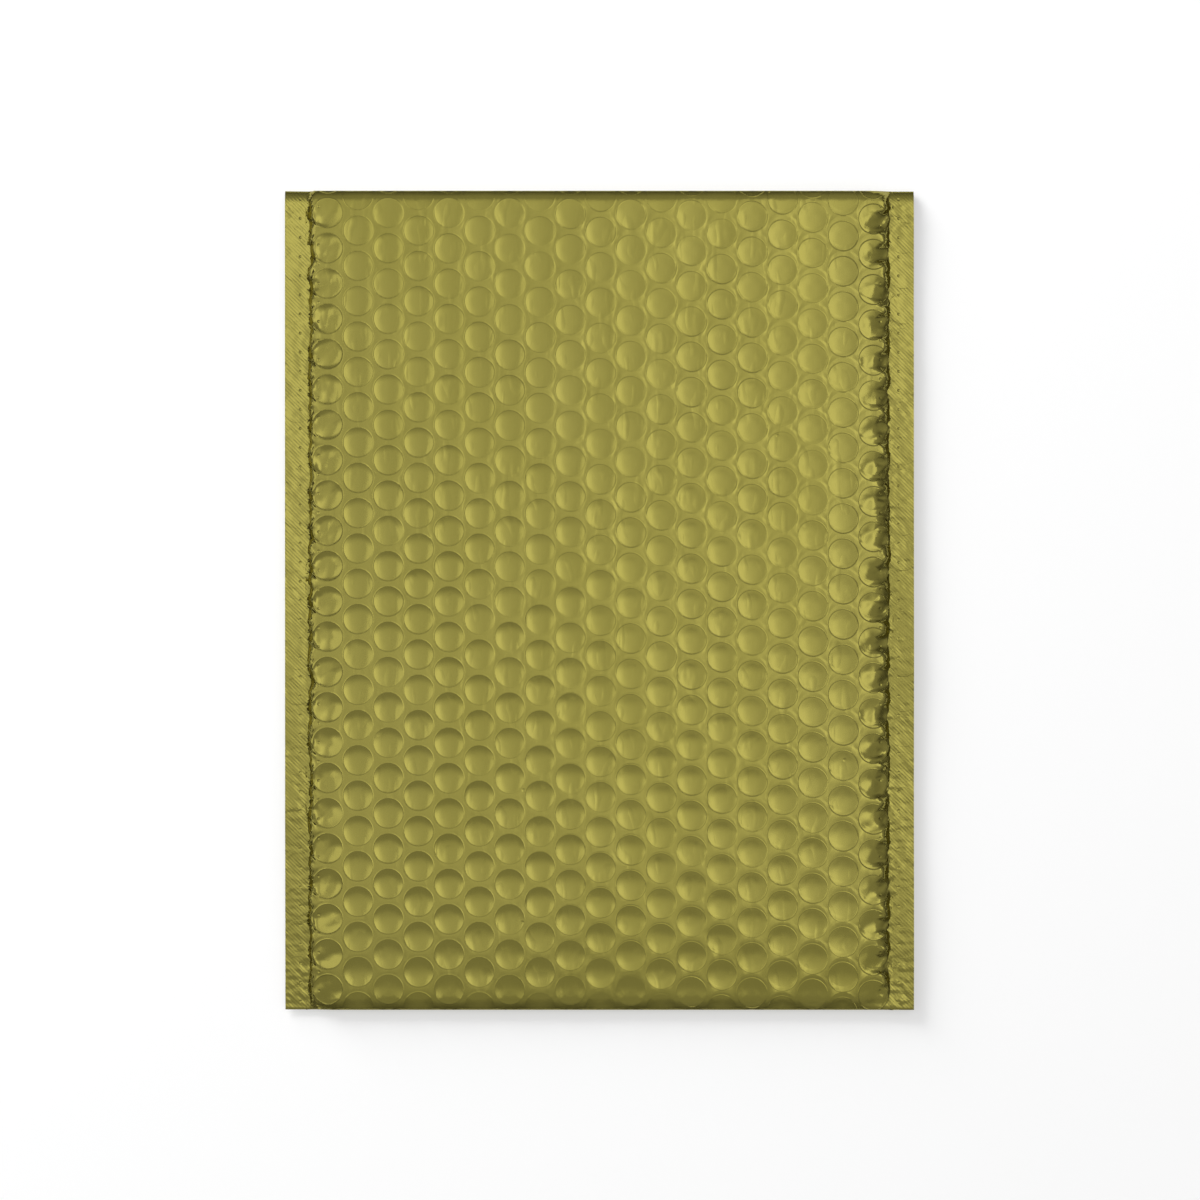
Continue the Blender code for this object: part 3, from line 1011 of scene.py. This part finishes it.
@dataclass
class BubbleLining:
    """The bubble film inside: two flat inner sheets with the air bubbles standing on them."""

    form: PouchForm
    lattice: Lattice
    gap_half: float = 0.3 * MM
    sheet: float = 0.25 * MM
    clearance: float = 0.95 * MM
    least_height: float = 0.3 * MM
    side_margin: float = 3.0 * MM
    foot: float = 0.94
    rows: int = 25
    sides: int = 12

    def bubble(self) -> bpy.types.Object:
        """One air bubble: a low round drum with a domed shoulder."""
        start_fresh()
        radius = self.lattice.radius * self.foot
        bpy.ops.mesh.primitive_circle_add(vertices=self.sides, radius=radius, fill_type="NGON")
        drum = bpy.context.active_object
        bpy.ops.object.mode_set(mode="EDIT")
        bpy.ops.mesh.select_mode(type="FACE")
        bpy.ops.mesh.select_all(action="SELECT")
        for height, scale in ((0.62, 0.97), (0.28, 0.88), (0.1, 0.7)):
            bpy.ops.mesh.extrude_region_move(TRANSFORM_OT_translate={"value": (0.0, 0.0, height)})
            bpy.ops.transform.resize(value=(scale, scale, 1.0))
        close_edit()
        return drum

    def top(self, x: float, y: float, back: bool) -> float:
        """How far from the middle plane a bubble may reach, so that it stays inside the film.

        Args:
            x: The bubble's place across the width.
            y: Its place along the length.
            back: Whether it is in the back wall.

        Returns:
            The distance.
        """
        form, reach = self.form, self.lattice.radius * self.foot
        far_x, slow = np.array(abs(x) + reach), np.array(3.0 * form.side_run)
        places = (max(y - reach, form.bottom), y, y + reach)
        half = (float(form.half(far_x, np.array(place), back=back, run=slow)) for place in places)
        return min(half) - self.clearance

    def centres(self) -> list[tuple[float, float]]:
        """Where the bubbles stand that are clear of the folds and the seals."""
        form, lattice = self.form, self.lattice
        limit = form.seal_line - self.side_margin - MM
        found = []
        for column in range(lattice.columns):
            x = lattice.first_x + column * lattice.column_pitch
            start = lattice.first_y + (column % 2) * lattice.row_pitch / 2
            for row in range(self.rows):
                y = start - row * lattice.row_pitch + float(lattice.bend_at(np.array(x)))
                if form.bottom + 9.0 * MM < y < form.mouth - 5.5 * MM and abs(x) <= limit:
                    found.append((x, y))
        return found

    def drums(self) -> bpy.types.Object:
        """All the bubbles of both walls as one object, from copies of the first."""
        drum = self.bubble()
        flat = read_points(drum)
        faces = [tuple(p.vertices) for p in drum.data.polygons]
        bpy.data.objects.remove(drum)
        points, polygons = [], []
        base = self.gap_half + self.sheet * 0.5
        for back in (False, True):
            sign = -1.0 if back else 1.0
            for x, y in self.centres():
                top = self.top(x, y, back)
                if top < self.gap_half + self.sheet + self.least_height:
                    continue
                moved = flat * np.array([1.0, 1.0, sign * (top - base)])
                moved += np.array([x, y, self.form.full_half])
                moved[:, 2] += sign * base
                first = len(points) * len(flat)
                points.append(moved)
                for face in faces:
                    polygons.append(tuple(first + i for i in (reversed(face) if back else face)))
        mesh = bpy.data.meshes.new("bubble_film")
        mesh.from_pydata(np.concatenate(points).tolist(), [], polygons)
        lining = bpy.data.objects.new("bubble_film", mesh)
        bpy.context.scene.collection.objects.link(lining)
        return lining

    def build(self) -> bpy.types.Object:
        """Builds both walls of the lining, open at the mouth."""
        form = self.form
        lining = self.drums()
        walls = [lining]
        low, high = form.bottom + 8.0 * MM, form.mouth - 1.2 * MM
        width = 2 * (form.seal_line - self.side_margin)
        for sign in (-1, 1):
            start_fresh()
            height = form.full_half + sign * (self.gap_half + self.sheet / 2)
            bpy.ops.mesh.primitive_cube_add(
                size=1.0, location=(0.0, (low + high) / 2, height),
                scale=(width, high - low, self.sheet),
            )
            bpy.ops.object.transform_apply(location=True, scale=True)
            walls.append(bpy.context.active_object)
        start_fresh()
        for wall in walls:
            wall.select_set(True)
        bpy.context.view_layer.objects.active = lining
        bpy.ops.object.join()
        make_active(lining)
        bpy.ops.object.shade_smooth_by_angle(angle=math.radians(40))
        return lining


class Term:
    """A value in a shader that takes the usual operators and adds a Math node for each."""

    def __init__(self, tree: bpy.types.NodeTree, socket: bpy.types.NodeSocket) -> None:
        """Wraps an output socket."""
        self.tree = tree
        self.socket = socket

    def maths(self, operation: str, *others: "Term | float", clamp: bool = False) -> "Term":
        """Adds a Math node.

        Args:
            operation: The node's operation.
            *others: Its further inputs.
            clamp: Whether it keeps its result between 0 and 1.

        Returns:
            The node's result.
        """
        node = self.tree.nodes.new("ShaderNodeMath")
        node.operation = operation
        node.use_clamp = clamp
        for socket, value in zip(node.inputs, (self, *others)):
            if isinstance(value, Term):
                self.tree.links.new(value.socket, socket)
            else:
                socket.default_value = value
        return Term(self.tree, node.outputs[0])

    def __add__(self, other: "Term | float") -> "Term":
        """Adds."""
        return self.maths("ADD", other)

    def __mul__(self, other: "Term | float") -> "Term":
        """Multiplies."""
        return self.maths("MULTIPLY", other)

    def __sub__(self, other: "Term | float") -> "Term":
        """Subtracts."""
        return self.maths("SUBTRACT", other)

    def __rsub__(self, other: float) -> "Term":
        """Subtracts from a number."""
        return (self * -1.0).maths("ADD", other)

    def __truediv__(self, other: "Term | float") -> "Term":
        """Divides."""
        return self.maths("DIVIDE", other)

    def ramp(self, low: float, high: float) -> "Term":
        """A straight ramp from 0 at low to 1 at high, held between them."""
        return ((self - low) * (1.0 / (high - low))).maths("ADD", 0.0, clamp=True)


class NodeKit:
    """Makes nodes in one material."""

    def __init__(self, name: str) -> None:
        """Starts a material with nothing but its shader."""
        self.material = bpy.data.materials.new(name)
        self.material.use_nodes = True
        self.tree = self.material.node_tree
        self.shader = self.tree.nodes["Principled BSDF"]

    def node(self, kind: str, settings: dict | None = None, **inputs: object) -> bpy.types.Node:
        """Adds a node.

        Args:
            kind: The node's type, without its ShaderNode prefix.
            settings: Its own settings, set first.
            **inputs: Values or links of its sockets, an underscore standing for a space.

        Returns:
            The node.
        """
        node = self.tree.nodes.new("ShaderNode" + kind)
        for key, value in (settings or {}).items():
            setattr(node, key, value)
        for key, value in inputs.items():
            self.feed(node.inputs[key.replace("_", " ")], value)
        return node

    def feed(self, socket: bpy.types.NodeSocket, value: object) -> None:
        """Links or sets one socket."""
        if isinstance(value, Term):
            self.tree.links.new(value.socket, socket)
        elif isinstance(value, bpy.types.NodeSocket):
            self.tree.links.new(value, socket)
        else:
            socket.default_value = value

    def place(self) -> tuple[bpy.types.NodeSocket, Term, Term, Term]:
        """Object coordinates, whole and split into X, Y and Z."""
        coords = self.node("TexCoord").outputs["Object"]
        split = self.node("SeparateXYZ", Vector=coords)
        return (coords, *(Term(self.tree, split.outputs[i]) for i in range(3)))

    def noise(self, coords: bpy.types.NodeSocket, scale: tuple, detail: float = 2.0) -> Term:
        """Noise over object coordinates, stretched by its scale on each axis."""
        mapping = self.node("Mapping", Vector=coords, Scale=scale)
        texture = self.node("TexNoise", Vector=mapping.outputs[0], Scale=1.0, Detail=detail)
        return Term(self.tree, texture.outputs[0])

    def blend(self, share: Term, low: tuple, high: tuple) -> bpy.types.NodeSocket:
        """Mixes two colours by a share."""
        mix = self.node("Mix", {"data_type": "RGBA"})
        self.feed(mix.inputs[0], share)
        self.feed(mix.inputs[6], (*low, 1.0))
        self.feed(mix.inputs[7], (*high, 1.0))
        return mix.outputs[2]

    def bump(self, height: Term, distance: float) -> None:
        """Feeds a height into the shader's normal."""
        node = self.node("Bump", Height=height, Distance=distance, Strength=1.0)
        self.tree.links.new(node.outputs[0], self.shader.inputs["Normal"])


@dataclass(frozen=True)
class OliveFilm:
    """Satin metallised film: olive gold, with a fine line round each bubble and knurled seals."""

    form: PouchForm
    lattice: Lattice
    low: tuple[float, float, float] = (0.298, 0.266, 0.058)
    high: tuple[float, float, float] = (0.342, 0.305, 0.073)
    roughness: float = 0.19
    rim_height: float = 0.065 * MM
    rim_half: float = 0.22 * MM
    knurl_pitch: float = 0.92 * MM
    knurl: float = 0.013 * MM
    pit_line: float = 102.3 * MM
    line_gap: float = 6.4 * MM
    pit_pitch: float = 6.53 * MM
    pit: float = 0.12 * MM
    smear: float = 0.09 * MM
    dent: float = 0.09 * MM
    grain: float = 0.004 * MM

    def web_place(self, kit: NodeKit) -> tuple[Term, Term]:
        """Where a point lies on the flat web of film."""
        split = kit.node("SeparateXYZ", Vector=kit.node("UVMap", {"uv_map": WEB_MAP}).outputs[0])
        return Term(kit.tree, split.outputs[0]), Term(kit.tree, split.outputs[1])

    def reach(self, u: Term, v: Term) -> Term:
        """Distance from the nearest bubble's centre.

        Args:
            u: Place across the web.
            v: Place along it.

        Returns:
            The distance in metres.
        """
        lattice = self.lattice
        column = (u - lattice.first_x) / lattice.column_pitch
        straight = v - (column * lattice.bend + lattice.lean) * column - lattice.first_y
        across = (u - lattice.first_x).maths("PINGPONG", lattice.column_pitch)
        along = straight.maths("PINGPONG", lattice.row_pitch / 2)
        even = (across * across + along * along).maths("SQRT")
        far_across, far_along = lattice.column_pitch - across, lattice.row_pitch / 2 - along
        odd = (far_across * far_across + far_along * far_along).maths("SQRT")
        return even.maths("MINIMUM", odd)

    def pits(self, out: Term, v: Term) -> Term:
        """Share of a needle pit's depth, on two lines of pits along each seal.

        Args:
            out: Distance from the middle of the envelope.
            v: Place along the web.

        Returns:
            1 in the middle of a pit and 0 outside it.
        """
        line = (self.pit_line + self.line_gap / 2 - out) / self.line_gap
        across = (out - self.pit_line).maths("PINGPONG", self.line_gap / 2)
        shift = line.maths("FLOOR") * (0.41 * self.pit_pitch)
        along = (v + shift).maths("PINGPONG", self.pit_pitch / 2)
        apart = (across * across + along * along).maths("SQRT")
        inner = self.pit_line - 1.5 * self.line_gap
        return apart.ramp(0.55 * MM, 0.1 * MM) * out.ramp(inner, inner + 0.1 * MM)

    def material(self) -> bpy.types.Material:
        """Builds the material."""
        kit = NodeKit("olive_metallic_film")
        coords = kit.place()[0]
        u, v = self.web_place(kit)
        out = u.maths("ABSOLUTE")
        shader, seal_line = kit.shader.inputs, self.form.seal_line
        streaks = kit.noise(coords, (1500.0, 60.0, 1500.0), 3.0)
        cloud = kit.noise(coords, (70.0, 40.0, 70.0), 2.0)
        grain = kit.noise(coords, (2600.0, 2600.0, 2600.0), 1.0)
        smear = kit.noise(coords, (240.0, 100.0, 240.0), 1.0)
        seal = out.ramp(seal_line - 0.6 * MM, seal_line + 0.3 * MM)
        hatch = ((u + v) * (2 * math.pi / (self.knurl_pitch * math.sqrt(2)))).maths("SINE")
        broken = kit.noise(coords, (260.0, 260.0, 260.0), 2.0).ramp(0.3, 0.65) * 0.8 + 0.25
        # The knurl's stripes in this tone are painted shade in its grooves and a painted highlight
        # on its ridges; the same stripes are its real relief in the bump below.
        tone = streaks * 0.35 + cloud * 0.65 + hatch * broken * seal * 0.6
        tone = tone.maths("ADD", 0.0, clamp=True)
        kit.feed(shader["Base Color"], kit.blend(tone, self.low, self.high))
        kit.feed(shader["Metallic"], 1.0)
        kit.feed(shader["Roughness"], streaks * 0.06 + (self.roughness - 0.03) + seal * 0.03)
        from_rim = (self.reach(u, v) - self.lattice.radius * 0.985).maths("ABSOLUTE")
        edge = out.ramp(seal_line - 15.0 * MM, seal_line - 10.0 * MM)
        worn = kit.noise(coords, (38.0, 38.0, 38.0), 1.0).ramp(0.3, 0.65) * 0.7 + 0.3 + edge * 0.5
        flap = v.ramp(self.form.mouth + 4.6 * MM, self.form.mouth + 4.0 * MM)
        worn = worn * (u.ramp(-70.0 * MM, 80.0 * MM) * 0.45 + 0.55)
        rim = from_rim.ramp(self.rim_half, 0.0) * worn * flap * (1.0 - seal * 0.7)
        height = rim * self.rim_height
        height = height + smear.ramp(0.58, 0.85) * (1.0 - seal) * -self.smear
        height = height + hatch * seal * broken * self.knurl
        height = height + self.pits(out, v) * -self.pit
        height = height + streaks * self.grain + grain * self.grain
        dents = kit.node("TexVoronoi", Vector=coords, Scale=42.0)
        height = height + Term(kit.tree, dents.outputs["Distance"]).ramp(0.03, 0.0) * -self.dent
        kit.bump(height, 1.0)
        return kit.material


@dataclass(frozen=True)
class PlainFilm:
    """A smooth plastic finish with a little unevenness."""

    slot: Slot
    low: tuple[float, float, float]
    high: tuple[float, float, float]
    roughness: float
    alpha: float = 1.0

    def material(self) -> bpy.types.Material:
        """Builds the material."""
        kit = NodeKit(self.slot.value)
        coords, *_ = kit.place()
        cloud = kit.noise(coords, (120.0, 60.0, 120.0), 3.0)
        kit.feed(kit.shader.inputs["Base Color"], kit.blend(cloud, self.low, self.high))
        kit.feed(kit.shader.inputs["Roughness"], cloud * 0.15 + (self.roughness - 0.07))
        kit.feed(kit.shader.inputs["Alpha"], self.alpha)
        kit.bump(cloud, 0.05 * MM)
        return kit.material


def dress(obj: bpy.types.Object, material: bpy.types.Material, slot: Slot, *nodes: str) -> None:
    """Gives a piece its finish and ties it to the model.

    Args:
        obj: The piece.
        material: Its material.
        slot: The record's slot, not used.
        *nodes: The CAD nodes that it stands for.
    """
    obj.data.materials.clear()
    obj.data.materials.append(material)
    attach(obj, "root")
    if nodes:
        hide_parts(*nodes)
    LOG.info("%s: %d faces", obj.name, len(obj.data.polygons))


@dataclass
class Studio:
    """Pale floor, soft boxes above, a low key from the upper left, and the camera.

    The boxes stand side by side, each from one edge to the next with its own brightness, and
    fade out in steps towards the bottom of the envelope. 1 is white.
    """

    form: PouchForm
    frame_width: float = 1200 * 0.3413 * MM
    camera_height: float = 1.7
    offset: tuple[float, float] = (0.17 * MM, 0.17 * MM)
    box_height: float = 2.2
    box_edges: tuple[float, ...] = (-4.0, -1.9, -0.64, -0.58, -0.28, -0.08, 0.10, 0.27, 0.42, 1.02)
    box_light: tuple[float, ...] = (0.6, 0.85, 0.0, 0.34, 0.40, 0.49, 0.62, 0.88, 1.2)
    box_span: tuple[float, float] = (-0.22, 1.3)
    fringes: tuple[tuple[float, float, float], ...] = ((-1.9, 0.27, 0.52), (0.27, 1.02, 0.90))
    fringe_step: float = 0.1
    key_place: tuple[float, float, float] = (-1.65, 2.0, 1.05)
    key_size: tuple[float, float] = (1.6, 1.6)
    key_light: float = 13.5
    surround: tuple[float, float] = (0.5, 0.14)
    floor_glow: float = 0.42

    def floor(self) -> None:
        """A white floor that keeps the shadow."""
        start_fresh()
        bpy.ops.mesh.primitive_plane_add(size=12.0, location=(0.0, 0.0, -0.02 * MM))
        floor = bpy.context.active_object
        floor.name = "floor"
        bpy.ops.object.transform_apply(location=True)
        kit = NodeKit("white_floor")
        kit.feed(kit.shader.inputs["Base Color"], (0.95, 0.95, 0.95, 1.0))
        kit.feed(kit.shader.inputs["Roughness"], 0.9)
        kit.feed(kit.shader.inputs["Specular IOR Level"], 0.0)
        path = kit.node("LightPath")
        seen, glossy, through = (
            Term(kit.tree, path.outputs[f"Is {ray} Ray"])
            for ray in ("Camera", "Glossy", "Transmission")
        )
        glow = kit.node("Emission", Color=(1.0, 1.0, 1.0, 1.0), Strength=1.0)
        mix = kit.node("MixShader")
        kit.feed(mix.inputs[0], (seen + glossy + through) * self.floor_glow)
        kit.tree.links.new(kit.shader.outputs[0], mix.inputs[1])
        kit.tree.links.new(glow.outputs[0], mix.inputs[2])
        output = next(n for n in kit.tree.nodes if n.type == "OUTPUT_MATERIAL")
        kit.tree.links.new(mix.outputs[0], output.inputs["Surface"])
        floor.data.materials.append(kit.material)

    def area(
        self, name: str, place: tuple, aim: tuple, size: tuple, radiance: float
    ) -> bpy.types.Object:
        """Adds a soft box.

        Args:
            name: Its name.
            place: Where its middle is.
            aim: The point that it faces.
            size: Its width and height.
            radiance: How bright its face is, 1 being white.

        Returns:
            The lamp.
        """
        light = bpy.data.lights.new(name, "AREA")
        light.shape = "RECTANGLE"
        light.size, light.size_y = size
        light.energy = radiance * math.pi * size[0] * size[1]
        lamp = bpy.data.objects.new(name, light)
        bpy.context.scene.collection.objects.link(lamp)
        lamp.location = place
        lamp.rotation_euler = (Vector(aim) - Vector(place)).to_track_quat("-Z", "Y").to_euler()
        return lamp

    def panel(
        self, name: str, left: float, right: float, low: float, high: float, radiance: float
    ) -> None:
        """Adds a level soft box over the envelope.

        Args:
            name: Its name.
            left: Its left edge.
            right: Its right edge.
            low: Its edge towards the bottom of the envelope.
            high: Its edge towards the mouth.
            radiance: How bright its face is, 1 being white.
        """
        middle = ((left + right) / 2, (low + high) / 2)
        size = (right - left, high - low)
        self.area(name, (*middle, self.box_height), (*middle, 0.0), size, radiance)

    def world(self, high: float, low: float) -> None:
        """A dim surround that darkens towards the horizon.

        Args:
            high: Its strength overhead.
            low: Its strength at the horizon.
        """
        world = bpy.data.worlds.new("surround")
        world.use_nodes = True
        tree = world.node_tree
        split = tree.nodes.new("ShaderNodeSeparateXYZ")
        tree.links.new(tree.nodes.new("ShaderNodeTexCoord").outputs["Generated"], split.inputs[0])
        share = Term(tree, split.outputs[2]).ramp(0.15, 0.75)
        background = tree.nodes["Background"]
        background.inputs["Color"].default_value = (1.0, 1.0, 1.0, 1.0)
        tree.links.new((share * (high - low) + low).socket, background.inputs["Strength"])
        bpy.context.scene.world = world

    def camera(self) -> None:
        """Looks straight down at the middle of the envelope."""
        data = bpy.data.cameras.new("camera")
        data.sensor_width = 36.0
        data.lens = data.sensor_width * self.camera_height / self.frame_width
        data.clip_end = 50.0
        camera = bpy.data.objects.new("camera", data)
        bpy.context.scene.collection.objects.link(camera)
        camera.location = (*self.offset, self.camera_height + 2 * self.form.full_half)
        bpy.context.scene.camera = camera

    def build(self) -> None:
        """Sets the whole stage."""
        self.camera()
        self.floor()
        self.world(*self.surround)
        low, high = self.box_span
        for left, right, light in zip(self.box_edges, self.box_edges[1:], self.box_light):
            if light:
                self.panel("soft_box", left, right, low, high, light)
        for step, share in enumerate((0.8, 0.6, 0.4, 0.2)):
            top = low - self.fringe_step * step
            for left, right, light in self.fringes:
                self.panel("box_fringe", left, right, top - self.fringe_step, top, light * share)
        key = self.area("key", self.key_place, (0.0, 0.0, 0.0), self.key_size, self.key_light)
        key.visible_glossy = False
        bpy.context.scene.view_settings.view_transform = "Standard"
        LOG.info("studio set")


def main() -> None:
    """Builds each piece in order, dresses it and sets the stage."""
    logging.basicConfig(level=logging.INFO, format="%(message)s")
    form, lattice = PouchForm(), Lattice()
    film = OliveFilm(form, lattice).material()
    panels = FilmPanels(form, lattice)
    dress(panels.build_front(), film, Slot.FILM, "outer_film")
    dress(panels.build_back(), film, Slot.FILM, "outer_film")
    seals = SideSeals(form, lattice)
    dress(seals.build(-1, "left_seal"), film, Slot.FILM, "outer_film")
    dress(seals.build(1, "right_seal"), film, Slot.FILM, "outer_film")
    clear = PlainFilm(Slot.LINING, (0.80, 0.82, 0.82), (0.90, 0.92, 0.92), 0.3).material()
    lining = BubbleLining(form, lattice).build()
    dress(lining, clear, Slot.LINING, "bubble_lining")
    tack = PlainFilm(Slot.ADHESIVE, (0.80, 0.77, 0.64), (0.88, 0.85, 0.74), 0.3).material()
    release = PlainFilm(Slot.LINER, (0.88, 0.88, 0.86), (0.94, 0.94, 0.92), 0.35).material()
    for node, material in (("adhesive_strip", tack), ("release_liner", release)):
        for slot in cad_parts[node].material_slots:
            slot.material = material
    Studio(form).build()


if __name__ == "__main__":
    main()
